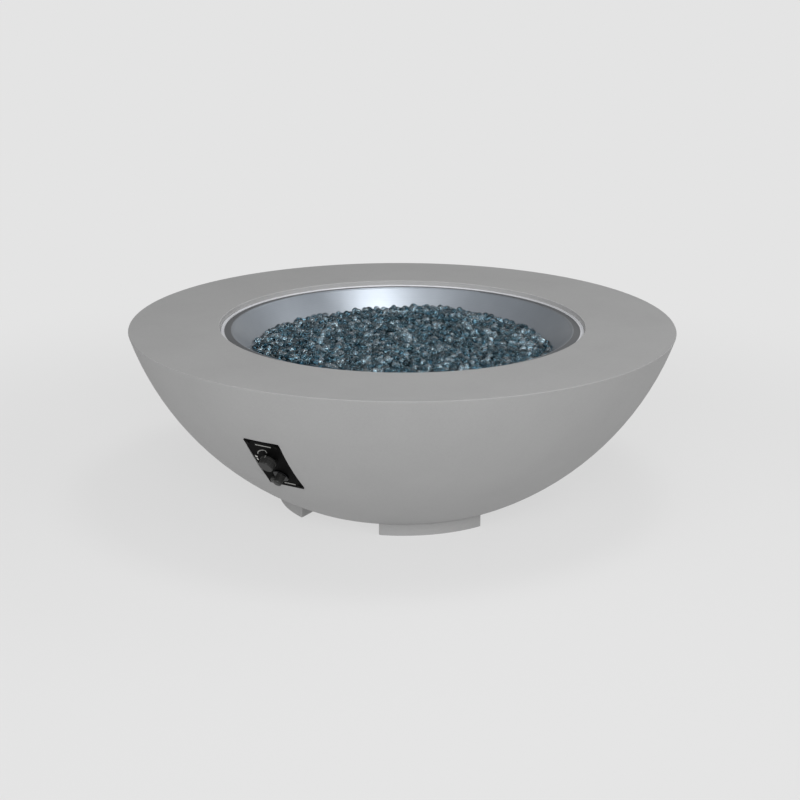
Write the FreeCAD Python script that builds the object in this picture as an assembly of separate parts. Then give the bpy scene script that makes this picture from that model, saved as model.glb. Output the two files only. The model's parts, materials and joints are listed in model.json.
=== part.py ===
"""Round gas fire bowl: a cast shell on four feet, a drop-in burner pan with a ring burner under a bed
of fire glass, and a control panel with a gas valve and a push-button spark igniter.

Millimetres. Z is up. The origin is the middle of the footprint, on the ground under the feet.
The control panel faces -Y, and the two channels between the feet run along X and along Y.
"""
import FreeCAD, Part
import math
import os

Vector = FreeCAD.Vector
ORIGIN = Vector(0, 0, 0)
X_AXIS = Vector(1, 0, 0)
Y_AXIS = Vector(0, 1, 0)
Z_AXIS = Vector(0, 0, 1)

# Cast shell. Its outside is part of a sphere whose centre is above the rim.
RIM_R = 533.4
HEIGHT = 355.0
SPHERE_R = 563.0
SPHERE_Z = HEIGHT + 174.4
WALL = 26.0
RIM_THICKNESS = 32.0
RIM_EDGE = 2.5
OPENING_R = 358.7
OPENING_EDGE = 1.5
RECESS_Z = HEIGHT - 8.0
SEAT_WALL_R = OPENING_R - 1.2
LEDGE_R = 338.7
LEDGE_Z = HEIGHT - 14.5
BASE_Z = 22.0
FLOOR_Z = 52.0
ACCESS_R = 100.0
FOOT_R = 247.0
FOOT_INNER_R = 165.0
CHANNEL = 175.0

# Burner pan, spun from sheet.
SHEET = 1.5
GASKET = 1.5
BEAD_R = 2.25
BEAD_RING_R = SEAT_WALL_R - 0.3 - BEAD_R
CREASE_R = 335.4
CREASE_Z = HEIGHT - 8.1
PAN_Z = HEIGHT - 80.0
HUB_HOLE_R = 11.0
DRAIN_R = 3.0
DRAIN_CIRCLE_R = 235.0
DRAINS = 6

# Ring burner.
TUBE_R = 8.0
TUBE_WALL = 1.4
RING_Z = PAN_Z + 20.0
OUTER_RING_R = 200.0
INNER_RING_R = 105.0
OUTER_PORTS = 24
INNER_PORTS = 12
PORT_R = 1.4
PORT_LEAN = 20.0
SPOKES = 4
SPOKE_R = 7.4
SPOKE_BORE_R = 6.0
HUB_R = 28.0
NIPPLE_R = 10.5
NIPPLE_Z = PAN_Z - 23.0
GAS_WAY_R = 4.0

# Gas mixer and the elbow under it.
MIXER_TOP_Z = PAN_Z - 13.0
MIXER_BASE_Z = PAN_Z - 75.0
ELBOW_Z = MIXER_BASE_Z - 14.0

# Pilot: spark electrode and thermocouple behind a bent hood, near the outer ring.
PILOT_Y = -150.0
PILOT_X = 10.0
HOOD_WIDTH = 62.0
HOOD_DEPTH = 24.0
HOOD_HEIGHT = 26.0

# Fire glass, a lens that lies on the burner and reaches the pan's wall.
GLASS_EDGE_Z = HEIGHT - 48.0
GLASS_TOP_Z = HEIGHT - 22.0

# Control panel. Its seat is a flat cut into the sphere, PANEL_TILT below level.
PANEL_TILT = 37.4
SEAT_R = 558.0
PANEL_WIDTH = 74.5
PANEL_LENGTH = 132.6
PANEL_SHEET = 2.0
WINDOW_WIDTH = 50.0
WINDOW_LENGTH = 112.0
PANEL_SCREW_X = 30.5
PANEL_SCREW_Y = 60.0

# Gas valve, behind the upper half of the panel. Depths are measured inwards from the seat.
VALVE_Y = 18.0
VALVE_HALF = 17.0
BONNET = 8.0
VALVE_DEPTH = 60.0
PORT_DEPTH = 45.0
BOSS_REACH = 30.0
BOSS_R = 9.0
STEM_R = 4.0
STEM_INNER = 22.0
PUSH_TRAVEL = 3.0
RUNNING_FIT = 0.05
VALVE_SCREW_X = 12.5
FLARE_R = 7.9
INLET_BODY = 14.5
INLET_NECK = 16.0
INLET_LENGTH = 34.0
INLET_AIM = Vector(-14, -30, 37)

# Knob on the valve's stem.
KNOB_R = 15.4
GRIP_R = 14.6
KNOB_BACK = 6.4
KNOB_FRONT = 22.0
KNOB_FLUTES = 12

# Igniter, in the lower half of the panel.
IGNITER_X = 2.0
IGNITER_Y = -33.0
IGNITER_R = 11.2
IGNITER_DEPTH = 68.0
BEZEL_R = 15.0
BEZEL_FRONT = PANEL_SHEET + 3.0
BUTTON_R = 8.5
BUTTON_FRONT = 22.0
TERMINAL_X = 5.0
CELL_R = 7.1
CELL_LENGTH = 50.0

# Earth stud with a domed cap nut, at the panel's lower corner.
STUD_X = -19.5
STUD_Y = -48.5
STUD_R = 2.5

# Flexible pieces inside the shell.
HOSE_R = 8.0
SPARK_LEAD_R = 2.0
THERMOCOUPLE_LEAD_R = 1.5


# Outlines and solids

def at(radius, height):
    """A point of a section, in the plane that is spun about Z."""
    return Vector(radius, 0, height)


def line(start, end):
    return Part.LineSegment(start, end).toShape()


def arc(start, middle, end):
    return Part.Arc(start, middle, end).toShape()


def polygon(points):
    """Straight edges through the points, back to the first."""
    return [line(points[i - 1], points[i]) for i in range(1, len(points))] + [line(points[-1], points[0])]


def spun(edges):
    """The solid swept by a closed section that turns once about Z."""
    return Part.Face(Part.Wire(edges)).revolve(ORIGIN, Z_AXIS, 360)


def rod(radius, start, end):
    """A round bar from one point to another."""
    along = end - start
    return Part.makeCylinder(radius, along.Length, start, along)


def block(size_x, size_y, size_z, low_centre):
    """A box on its lower face's centre."""
    corner = low_centre - Vector(size_x / 2, size_y / 2, 0)
    return Part.makeBox(size_x, size_y, size_z, corner)


def rounded_block(size_x, size_y, size_z, low_centre, radius):
    """A box with its four upright edges rounded."""
    solid = block(size_x, size_y, size_z, low_centre)
    upright = [edge for edge in solid.Edges if abs(edge.tangentAt(edge.FirstParameter).z) > 0.99]
    return solid.makeFillet(radius, upright)


def hexagon(across_flats, start, end):
    """A hexagonal bar from one point to another."""
    along = end - start
    corner_r = across_flats / math.sqrt(3)
    corners = []
    for i in range(6):
        corners.append(Vector(corner_r * math.cos(i * math.pi / 3), corner_r * math.sin(i * math.pi / 3), 0))
    bar = Part.Face(Part.Wire(polygon(corners))).extrude(Vector(0, 0, along.Length))
    bar.Placement = FreeCAD.Placement(start, FreeCAD.Rotation(Z_AXIS, along))
    return bar


def around(shape, count, first=0.0):
    """Copies of a shape, evenly spaced about Z."""
    copies = []
    for i in range(count):
        copy = shape.copy()
        copy.rotate(ORIGIN, Z_AXIS, first + 360.0 * i / count)
        copies.append(copy)
    return copies


def screw(place, outward, head_r, head_height, shank_r, length):
    """A pan-head screw whose head rests at place and faces outward."""
    head = rod(head_r, place, place + outward * head_height)
    rim = [edge for edge in head.Edges if edge.isClosed() and edge.CenterOfMass.distanceToPoint(place) > 0.1]
    head = head.makeFillet(head_height * 0.45, rim)
    return head.fuse(rod(shank_r, place - outward * length, place)).removeSplitter()


def group(shapes):
    return Part.makeCompound(shapes)


# Places on the panel

def panel_point(x, y, depth):
    """A point behind the panel: across, up the panel, and inwards from the seat."""
    return PANEL_PLACE.multVec(Vector(x, y, -depth))


def on_panel(shape):
    """Moves a shape from the panel's own axes, with Z facing out, to its place on the shell."""
    shape.Placement = PANEL_PLACE.multiply(shape.Placement)
    return shape


PANEL_TURN = FreeCAD.Rotation(X_AXIS, 90 + PANEL_TILT)
PANEL_OUT = PANEL_TURN.multVec(Z_AXIS)
PANEL_PLACE = FreeCAD.Placement(Vector(0, 0, SPHERE_Z) + PANEL_OUT * SEAT_R, PANEL_TURN)


# Shell

def sphere_point(radius, height):
    """Where a sphere about the shell's centre meets a level."""
    return at(math.sqrt(radius ** 2 - (SPHERE_Z - height) ** 2), height)


def sphere_arc(radius, low, high):
    middle = sphere_point(radius, (low + high) / 2)
    return arc(sphere_point(radius, low), middle, sphere_point(radius, high))


def shell_section():
    inner = SPHERE_R - WALL
    rim_low = HEIGHT - RIM_THICKNESS
    rim_side = sphere_point(SPHERE_R, HEIGHT - RIM_EDGE)
    lip_top = at(OPENING_R + OPENING_EDGE, HEIGHT)
    lip_side = at(OPENING_R, HEIGHT - OPENING_EDGE)
    corner = OPENING_EDGE * (1 - math.sqrt(0.5))
    rim_corner = at((RIM_R + rim_side.x) / 2 + 0.55, HEIGHT - RIM_EDGE * 0.35)
    return [
        sphere_arc(SPHERE_R, BASE_Z, HEIGHT - RIM_EDGE),
        arc(rim_side, rim_corner, at(RIM_R, HEIGHT)),
        line(at(RIM_R, HEIGHT), lip_top),
        arc(lip_top, at(OPENING_R + corner, HEIGHT - corner), lip_side),
        line(lip_side, at(OPENING_R, RECESS_Z)),
        line(at(OPENING_R, RECESS_Z), at(SEAT_WALL_R, RECESS_Z)),
        line(at(SEAT_WALL_R, RECESS_Z), at(SEAT_WALL_R, LEDGE_Z)),
        line(at(SEAT_WALL_R, LEDGE_Z), at(LEDGE_R, LEDGE_Z)),
        line(at(LEDGE_R, LEDGE_Z), at(LEDGE_R, rim_low)),
        line(at(LEDGE_R, rim_low), sphere_point(inner, rim_low)),
        sphere_arc(inner, FLOOR_Z, rim_low),
        line(sphere_point(inner, FLOOR_Z), at(ACCESS_R, FLOOR_Z)),
        line(at(ACCESS_R, FLOOR_Z), at(ACCESS_R, BASE_Z)),
        line(at(ACCESS_R, BASE_Z), sphere_point(SPHERE_R, BASE_Z)),
    ]


def feet():
    """Four quarters of a thick ring, left by two channels that cross under the shell."""
    root = BASE_Z + 2.0
    ring = Part.makeCylinder(FOOT_R, root).cut(Part.makeCylinder(FOOT_INNER_R, root))
    span = 3 * FOOT_R
    ring = ring.cut(block(span, CHANNEL, root, ORIGIN)).cut(block(CHANNEL, span, root, ORIGIN))
    return [foot.makeFillet(2.0, ground_edges(foot)) for foot in ring.Solids]


def ground_edges(solid):
    """The edges that lie on the ground, and the upright ones above them."""
    low = [edge for edge in solid.Edges if edge.BoundBox.ZMax < 0.01]
    upright = [edge for edge in solid.Edges if edge.BoundBox.XLength + edge.BoundBox.YLength < 0.01]
    return low + upright


def bowl_feet():
    shell = spun(shell_section())
    return group([foot.cut(shell).Solids[0] for foot in feet()])


def bowl_shell():
    shell = spun(shell_section())
    gap = 1.0
    seat = block(PANEL_WIDTH + 2 * gap, PANEL_LENGTH + 2 * gap, 30.0, ORIGIN)
    window = rounded_block(WINDOW_WIDTH, WINDOW_LENGTH, 50.0, Vector(0, 0, -45), 4.0)
    shell = shell.cut(on_panel(seat)).cut(on_panel(window))
    for x in (-PANEL_SCREW_X, PANEL_SCREW_X):
        for y in (-PANEL_SCREW_Y, PANEL_SCREW_Y):
            shell = shell.cut(rod(2.0, panel_point(x, y, 13.0), panel_point(x, y, -1.0)))
    return shell


# Pan and gasket

def pan_top_edges(lift):
    """The pan's upper face from its bead to its floor, moved outwards from the metal by lift."""
    tilt = math.radians(8.5)
    flange_normal = at(math.sin(tilt), math.cos(tilt))
    up = flange_normal * lift
    slope = math.sqrt(0.5) * lift
    flange_out = at(BEAD_RING_R - 0.5, LEDGE_Z + GASKET + 1.9) + up
    crease_out = at(CREASE_R + 2.2, CREASE_Z - 0.5) + up
    crease = at(CREASE_R - 1.0, CREASE_Z - 0.9) + at(-slope * 0.5, slope)
    crease_in = at(CREASE_R - 3.0, CREASE_Z - 3.2) + at(-slope, slope)
    wall_middle = at(300.0, HEIGHT - 42.5) + at(-slope, slope)
    wall_low = at(268.5, PAN_Z + 4.5) + at(-slope, slope)
    floor_bend = at(264.5, PAN_Z + 1.5) + at(-slope * 0.6, slope * 1.2)
    floor_edge = at(258.0, PAN_Z + lift)
    flange_middle = (flange_out + crease_out) * 0.5 + flange_normal * 0.3
    return [
        arc(flange_out, flange_middle, crease_out),
        arc(crease_out, crease, crease_in),
        arc(crease_in, wall_middle, wall_low),
        arc(wall_low, floor_bend, floor_edge),
    ]


def burner_pan():
    """A spun pan with a bead rolled round its edge, a hole for the hub, drains and the pilot's slot."""
    top = pan_top_edges(0.0)
    under = pan_top_edges(-SHEET)
    hub_top = at(HUB_HOLE_R, PAN_Z)
    hub_low = at(HUB_HOLE_R, PAN_Z - SHEET)
    ends = [
        line(top[-1].lastVertex().Point, hub_top),
        line(hub_top, hub_low),
        line(hub_low, under[-1].lastVertex().Point),
        line(under[0].firstVertex().Point, top[0].firstVertex().Point),
    ]
    pan = spun(Part.__sortEdges__(top + under + ends))
    pan = pan.fuse(Part.makeTorus(BEAD_RING_R, BEAD_R, Vector(0, 0, LEDGE_Z + GASKET + BEAD_R)))
    drain = rod(DRAIN_R, at(DRAIN_CIRCLE_R, PAN_Z - 5), at(DRAIN_CIRCLE_R, PAN_Z + 5))
    for hole in around(drain, DRAINS, 30):
        pan = pan.cut(hole)
    slot = rounded_block(40.0, 15.0, 10.0, Vector(0, PILOT_Y, PAN_Z - 5), 5.0)
    pan = pan.cut(slot)
    for x in (-25.0, 25.0):
        pan = pan.cut(rod(1.7, Vector(x, PILOT_Y, PAN_Z - 5), Vector(x, PILOT_Y, PAN_Z + 5)))
    return pan


def pan_gasket():
    low = LEDGE_Z
    high = LEDGE_Z + GASKET
    outer = SEAT_WALL_R - 0.7
    inner = LEDGE_R + 3.0
    return spun(polygon([at(inner, low), at(outer, low), at(outer, high), at(inner, high)]))


# Burner

def torus(ring_r, tube_r):
    return Part.makeTorus(ring_r, tube_r, Vector(0, 0, RING_Z))


def port(ring_r, lean):
    """A flame port through a ring's top, leaning out from the upright by lean degrees."""
    centre = at(ring_r, RING_Z)
    way = at(math.sin(math.radians(lean)), math.cos(math.radians(lean)))
    return rod(PORT_R, centre, centre + way * (TUBE_R + 1))


def spoke_ways():
    """The bores that carry gas along the spokes."""
    bore = rod(SPOKE_BORE_R, at(HUB_R - 8, RING_Z), at(OUTER_RING_R, RING_Z))
    return around(bore, SPOKES, 45)


def ring(ring_r, ports, first_port, lean):
    """A hollow ring with the holes where spokes enter, and flame ports between them."""
    tube = torus(ring_r, TUBE_R).cut(torus(ring_r, TUBE_R - TUBE_WALL))
    for way in spoke_ways():
        tube = tube.cut(way)
    for hole in around(port(ring_r, lean), ports, first_port):
        tube = tube.cut(hole)
    return tube


def burner_spokes():
    """Tubes from the hub to the inner ring and on to the outer one, fish-mouthed where they meet them."""
    spans = []
    for start, end in ((HUB_R, INNER_RING_R), (INNER_RING_R, OUTER_RING_R)):
        tube = rod(SPOKE_R, at(start - 1, RING_Z), at(end, RING_Z))
        tube = tube.cut(rod(SPOKE_BORE_R, at(start - 1, RING_Z), at(end, RING_Z)))
        tube = tube.cut(Part.makeCylinder(HUB_R, 40, Vector(0, 0, RING_Z - 20)))
        tube = tube.cut(torus(INNER_RING_R, TUBE_R)).cut(torus(OUTER_RING_R, TUBE_R))
        longest = max(tube.Solids, key=lambda solid: solid.Volume)
        spans += around(longest, SPOKES, 45)
    return group(spans)


def burner_hub():
    """A squat pot with a threaded inlet below it and a bore for each spoke."""
    top = RING_Z + TUBE_R
    low = PAN_Z + 9.0
    way = 6.5
    hub = spun(polygon([
        at(way, NIPPLE_Z), at(NIPPLE_R, NIPPLE_Z), at(NIPPLE_R, PAN_Z), at(17.0, PAN_Z), at(17.0, low),
        at(HUB_R, low), at(HUB_R, top - 3), at(HUB_R - 3, top), at(0, top),
        at(0, top - 3), at(HUB_R - 4, top - 3), at(HUB_R - 4, low + 3), at(way, low + 3),
    ]))
    for way in spoke_ways():
        hub = hub.cut(way)
    return hub


def burner_standoffs():
    """Posts that carry the outer ring, saddled to its tube."""
    post = rod(5.0, at(OUTER_RING_R, PAN_Z), at(OUTER_RING_R, RING_Z))
    post = post.cut(torus(OUTER_RING_R, TUBE_R))
    lowest = min(post.Solids, key=lambda solid: solid.CenterOfMass.z)
    return group(around(lowest, SPOKES))


def burner_lock_nut():
    low = Vector(0, 0, PAN_Z - SHEET - 8)
    high = Vector(0, 0, PAN_Z - SHEET)
    return hexagon(32.0, low, high).cut(rod(NIPPLE_R, low, high))


def air_mixer():
    """A venturi under the burner's inlet, with four air windows round the gas jet."""
    throat_z = (MIXER_TOP_Z + MIXER_BASE_Z) / 2 + 6
    socket_z = NIPPLE_Z
    flare_z = MIXER_BASE_Z + 20
    body = spun(polygon([
        at(NIPPLE_R, MIXER_TOP_Z), at(NIPPLE_R, socket_z), at(6.5, throat_z), at(9.5, flare_z),
        at(9.5, MIXER_BASE_Z), at(13.0, MIXER_BASE_Z), at(13.0, flare_z), at(9.5, throat_z),
        at(14.0, socket_z - 3), at(14.0, MIXER_TOP_Z),
    ]))
    for window in around(block(20.0, 8.0, 10.0, Vector(10, 0, MIXER_BASE_Z + 5)), 4, 45):
        body = body.cut(window)
    return body


def gas_orifice():
    """A hexagonal jet with a tapered nose and a fine bore."""
    low = Vector(0, 0, MIXER_BASE_Z)
    nose_z = Vector(0, 0, MIXER_BASE_Z + 6)
    jet = hexagon(11.0, low, nose_z).fuse(Part.makeCone(4.5, 2.2, 6.0, nose_z))
    return jet.cut(rod(0.9, low, low + Z_AXIS * 20)).cut(rod(3.0, low, low + Z_AXIS * 5))


def orifice_elbow():
    """Carries the jet and turns to meet the hose."""
    knee = Vector(0, 0, ELBOW_Z)
    body = rod(12.9, Vector(0, 0, MIXER_BASE_Z - 4), Vector(0, 0, MIXER_BASE_Z))
    body = body.fuse(rod(8.5, knee, Vector(0, 0, MIXER_BASE_Z - 4))).fuse(Part.makeSphere(8.5, knee))
    body = body.fuse(rod(FLARE_R, knee, knee - Y_AXIS * 30))
    body = body.cut(rod(GAS_WAY_R, knee, Vector(0, 0, MIXER_BASE_Z)))
    return body.cut(rod(GAS_WAY_R, knee, knee - Y_AXIS * 30))


# Pilot

def pilot_bracket():
    """A hood bent from strip, open towards the outer ring, that keeps glass off the spark gap."""
    back = PILOT_Y + HOOD_DEPTH / 2
    front = PILOT_Y - HOOD_DEPTH / 2
    low = PAN_Z
    high = PAN_Z + HOOD_HEIGHT
    section = [
        (front, low), (back, low), (back, high), (front + 4, high),
        (front + 4, high - SHEET), (back - SHEET, high - SHEET), (back - SHEET, low + SHEET),
        (front, low + SHEET),
    ]
    outline = [Vector(-HOOD_WIDTH / 2, y, z) for y, z in section]
    hood = Part.Face(Part.Wire(polygon(outline))).extrude(Vector(HOOD_WIDTH, 0, 0))
    for x, radius in ((-PILOT_X, 4.0), (PILOT_X, 3.2), (-25.0, 1.7), (25.0, 1.7)):
        hood = hood.cut(rod(radius, Vector(x, PILOT_Y, low - 1), Vector(x, PILOT_Y, low + 3)))
    return hood


def electrode_insulator():
    low = Vector(-PILOT_X, PILOT_Y, PAN_Z - 13)
    high = Vector(-PILOT_X, PILOT_Y, PAN_Z + 13)
    collar = Vector(-PILOT_X, PILOT_Y, PAN_Z + SHEET)
    body = rod(3.9, low, high).fuse(rod(5.5, collar, collar + Z_AXIS * 2.5)).removeSplitter()
    return body.cut(rod(1.2, low, high))


def electrode_rod():
    low = Vector(-PILOT_X, PILOT_Y, PAN_Z - 23)
    bend = Vector(-PILOT_X, PILOT_Y, PAN_Z + 18)
    tip = bend - Y_AXIS * 16
    return rod(1.2, low, bend).fuse(Part.makeSphere(1.2, bend)).fuse(rod(1.2, bend, tip)).removeSplitter()


def thermocouple():
    low = Vector(PILOT_X, PILOT_Y, PAN_Z - 13)
    shoulder = Vector(PILOT_X, PILOT_Y, PAN_Z + 10)
    return rod(3.1, low, shoulder).fuse(Part.makeCone(3.1, 1.8, 10.0, shoulder))


def pilot_screws():
    screws = []
    for x in (-25.0, 25.0):
        screws.append(screw(Vector(x, PILOT_Y, PAN_Z + SHEET), Z_AXIS, 3.2, 2.0, 1.6, 8.0))
    return group(screws)


def fire_glass():
    """A lens of glass pebbles on the burner, with the pan's wall round its edge."""
    low = RING_Z + TUBE_R + 0.2
    low_r = 289.5
    edge_r = 291.5
    rise = GLASS_TOP_Z - GLASS_EDGE_Z
    dome_r = (edge_r ** 2 + rise ** 2) / (2 * rise)
    part_way = edge_r * 0.6
    middle = at(part_way, GLASS_TOP_Z - dome_r + math.sqrt(dome_r ** 2 - part_way ** 2))
    dome = arc(at(edge_r, GLASS_EDGE_Z), middle, at(0, GLASS_TOP_Z))
    return spun([
        line(at(0, low), at(low_r, low)),
        line(at(low_r, low), at(edge_r, GLASS_EDGE_Z)),
        dome,
        line(at(0, GLASS_TOP_Z), at(0, low)),
    ])


# Valve

def plug_cone(gap):
    """The tapered bore of the valve, gap smaller all round for the plug itself."""
    front = -BONNET - gap
    depth = 44.0 - 2 * gap
    return Part.makeCone(9.0 - gap, 7.0 - gap, depth, Vector(0, VALVE_Y, front), -Z_AXIS)


def valve_ports():
    """The inlet and outlet ways, in line across the valve."""
    centre = Vector(0, VALVE_Y, -PORT_DEPTH)
    ways = rod(3.0, centre - X_AXIS * BOSS_REACH, centre + X_AXIS * BOSS_REACH)
    for side in (-1, 1):
        ways = ways.fuse(rod(6.0, centre + X_AXIS * (side * 20), centre + X_AXIS * (side * BOSS_REACH)))
    return ways


def valve_screw_holes(radius, depth):
    holes = []
    for x in (-VALVE_SCREW_X, VALVE_SCREW_X):
        holes.append(rod(radius, Vector(x, VALVE_Y, -depth), Vector(x, VALVE_Y, 5)))
    return holes


def valve_body():
    size = 2 * VALVE_HALF
    low = Vector(0, VALVE_Y, -VALVE_DEPTH)
    body = rounded_block(size, size, VALVE_DEPTH - BONNET, low, 5.0)
    centre = Vector(0, VALVE_Y, -PORT_DEPTH)
    body = body.fuse(rod(BOSS_R, centre - X_AXIS * BOSS_REACH, centre + X_AXIS * BOSS_REACH))
    body = body.cut(plug_cone(0)).cut(valve_ports())
    for hole in valve_screw_holes(2.0, 17.0):
        body = body.cut(hole)
    return on_panel(body)


def valve_bonnet():
    size = 2 * VALVE_HALF
    bonnet = rounded_block(size, size, BONNET, Vector(0, VALVE_Y, -BONNET), 5.0)
    bonnet = bonnet.cut(rod(STEM_R + RUNNING_FIT, Vector(0, VALVE_Y, -20), Vector(0, VALVE_Y, 5)))
    for hole in valve_screw_holes(2.1, 17.0):
        bonnet = bonnet.cut(hole)
    return on_panel(bonnet)


def stem_tang(width, radius, length, front):
    """The flatted end of the stem, which slides in the plug and turns it."""
    bar = rod(radius, Vector(0, VALVE_Y, front - length), Vector(0, VALVE_Y, front))
    return bar.common(block(width, 4 * radius, length, Vector(0, VALVE_Y, front - length)))


def valve_plug():
    """A tapered plug. Its cross bore is shut at rest and in line with the ports after a quarter turn."""
    centre = Vector(0, VALVE_Y, -PORT_DEPTH)
    plug = plug_cone(RUNNING_FIT).cut(rod(3.0, centre - Y_AXIS * 12, centre + Y_AXIS * 12))
    slot_depth = STEM_INNER + PUSH_TRAVEL + 1.0
    slot = stem_tang(5.1, STEM_R + RUNNING_FIT, slot_depth, 0)
    return on_panel(plug.cut(slot))


def stem_solid():
    flat = 2.6
    shoulder = -BONNET + PUSH_TRAVEL + 0.6
    front = KNOB_FRONT - 4.0
    stem = rod(STEM_R, Vector(0, VALVE_Y, shoulder), Vector(0, VALVE_Y, front))
    stem = stem.cut(block(8.0, 16.0, 30.0, Vector(flat + 4.0, VALVE_Y, KNOB_BACK + 1)))
    tang = stem_tang(5.0, STEM_R, STEM_INNER + shoulder, shoulder)
    return stem.fuse(tang).removeSplitter()


def valve_stem():
    return on_panel(stem_solid())


def pointer_bar():
    """A bar on the skirt's edge, up the panel from the stem at rest."""
    return block(2.0, 2.8, 4.2, Vector(0, VALVE_Y + KNOB_R - 1.1, KNOB_BACK + 0.4))


def control_knob():
    """A skirted knob with a fluted, slightly tapered grip."""
    skirt = KNOB_BACK + 4.0
    crown = KNOB_FRONT - 1.6
    crown_r = GRIP_R - 0.4
    knob = spun(polygon([
        at(0, KNOB_BACK), at(KNOB_R - 0.6, KNOB_BACK), at(KNOB_R, KNOB_BACK + 0.6),
        at(KNOB_R, skirt - 0.6), at(KNOB_R - 0.6, skirt), at(GRIP_R, skirt), at(crown_r, crown),
        at(crown_r - 0.5, crown + 1.1), at(crown_r - 1.6, KNOB_FRONT), at(0, KNOB_FRONT),
    ]))
    flute = rod(3.0, at(GRIP_R + 2.2, skirt), at(GRIP_R + 1.9, KNOB_FRONT + 1))
    for cut in around(flute, KNOB_FLUTES, 90 + 180.0 / KNOB_FLUTES):
        knob = knob.cut(cut)
    knob.translate(Vector(0, VALVE_Y, 0))
    return on_panel(knob.cut(stem_solid()).cut(pointer_bar()))


def knob_pointer():
    return on_panel(pointer_bar())


def valve_screws():
    screws = []
    for x in (-VALVE_SCREW_X, VALVE_SCREW_X):
        screws.append(screw(Vector(x, VALVE_Y, PANEL_SHEET), Z_AXIS, 3.4, 1.2, 1.9, 17.0))
    return on_panel(group(screws))


def safety_magnet():
    """The coil housing of the flame-failure cut-off, on the back of the valve."""
    back = Vector(0, VALVE_Y, -VALVE_DEPTH)
    body = rod(9.0, back - Z_AXIS * 12, back).fuse(hexagon(14.0, back - Z_AXIS * 18, back - Z_AXIS * 12))
    return on_panel(body)


def thermocouple_nut():
    back = Vector(0, VALVE_Y, -VALVE_DEPTH - 18)
    nut = hexagon(9.0, back - Z_AXIS * 8, back)
    return on_panel(nut.cut(rod(THERMOCOUPLE_LEAD_R, back - Z_AXIS * 8, back)))


def inlet_elbow():
    """Turns the inlet towards the access hole, and ends past a relief neck in a flare for the hose."""
    bore_end = panel_point(-20, VALVE_Y, PORT_DEPTH)
    boss = panel_point(-BOSS_REACH, VALVE_Y, PORT_DEPTH)
    knee = panel_point(-40, VALVE_Y, PORT_DEPTH)
    way = (INLET_AIM - knee).normalize()
    shoulder = knee + way * INLET_BODY
    neck = knee + way * INLET_NECK
    end = knee + way * INLET_LENGTH
    body = rod(6.0, bore_end, boss).fuse(rod(BOSS_R, boss, knee)).fuse(Part.makeSphere(BOSS_R, knee))
    body = body.fuse(rod(BOSS_R, knee, shoulder)).fuse(rod(6.8, shoulder, neck))
    body = body.fuse(rod(FLARE_R, neck, end)).fuse(Part.makeCone(FLARE_R, 5.6, 4.0, end, way))
    return body.cut(rod(GAS_WAY_R, bore_end, knee)).cut(rod(GAS_WAY_R, knee, end + way * 5))


def outlet_union():
    """A straight fitting between the outlet and the burner hose."""
    centre = Vector(0, VALVE_Y, -PORT_DEPTH)
    body = rod(6.0, centre + X_AXIS * 20, centre + X_AXIS * BOSS_REACH)
    body = body.fuse(hexagon(17.0, centre + X_AXIS * BOSS_REACH, centre + X_AXIS * 37))
    body = body.fuse(rod(FLARE_R, centre + X_AXIS * 37, centre + X_AXIS * 50))
    return on_panel(body.cut(rod(GAS_WAY_R, centre + X_AXIS * 20, centre + X_AXIS * 50)))


def flare_nut(start, end, fitting_end):
    """A nut that holds the hose's end on a fitting."""
    along = (end - start).normalize()
    nut = hexagon(20.0, start, end).cut(rod(FLARE_R, start, fitting_end))
    return nut.cut(rod(GAS_WAY_R, start, end + along))


def flare_nuts():
    valve_nut = flare_nut(
        panel_point(42, VALVE_Y, PORT_DEPTH), hose_start(), panel_point(50, VALVE_Y, PORT_DEPTH))
    knee = Vector(0, 0, ELBOW_Z)
    burner_nut = flare_nut(knee - Y_AXIS * 22, hose_end(), knee - Y_AXIS * 30)
    return group([valve_nut, burner_nut])


# Flexible pieces

def rounded_path(points):
    """Straight runs joined by tangent arcs, each as large as its two runs allow, and the smallest radius."""
    edges = []
    radii = []
    last = points[0]
    for before, corner, after in zip(points, points[1:], points[2:]):
        way_in = (corner - before).normalize()
        way_out = (after - corner).normalize()
        reach = 0.45 * min((corner - before).Length, (after - corner).Length)
        half_turn = way_in.getAngle(way_out) / 2
        radius = reach / math.tan(half_turn)
        inward = (way_out - way_in).normalize()
        middle = corner + inward * (radius / math.cos(half_turn) - radius)
        edges.append(line(last, corner - way_in * reach))
        edges.append(arc(corner - way_in * reach, middle, corner + way_out * reach))
        last = corner + way_out * reach
        radii.append(radius)
    edges.append(line(last, points[-1]))
    return Part.Wire(edges), radii


def flexible(name, points, radius):
    """A round tube along a rounded path."""
    path, radii = rounded_path(points)
    section = Part.Wire([Part.Circle(points[0], points[1] - points[0], radius).toShape()])
    tube = path.makePipeShell([section], True, False)
    share = tube.Volume / (path.Length * math.pi * radius ** 2)
    print(name, "radii", [round(r) for r in radii], "length", round(path.Length), "share", round(share, 3))
    return tube


def hose_start():
    return panel_point(57, VALVE_Y, PORT_DEPTH)


def hose_end():
    return Vector(0, -37, ELBOW_Z)


def burner_hose():
    start = hose_start()
    return flexible("burner_hose", [
        start,
        start + X_AXIS * 52,
        start + Vector(92, 40, -4),
        Vector(146, -315, 222),
        Vector(118, -238, 207),
        Vector(66, -172, 194),
        Vector(16, -118, ELBOW_Z),
        Vector(0, -76, ELBOW_Z),
        hose_end(),
    ], HOSE_R)


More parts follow.
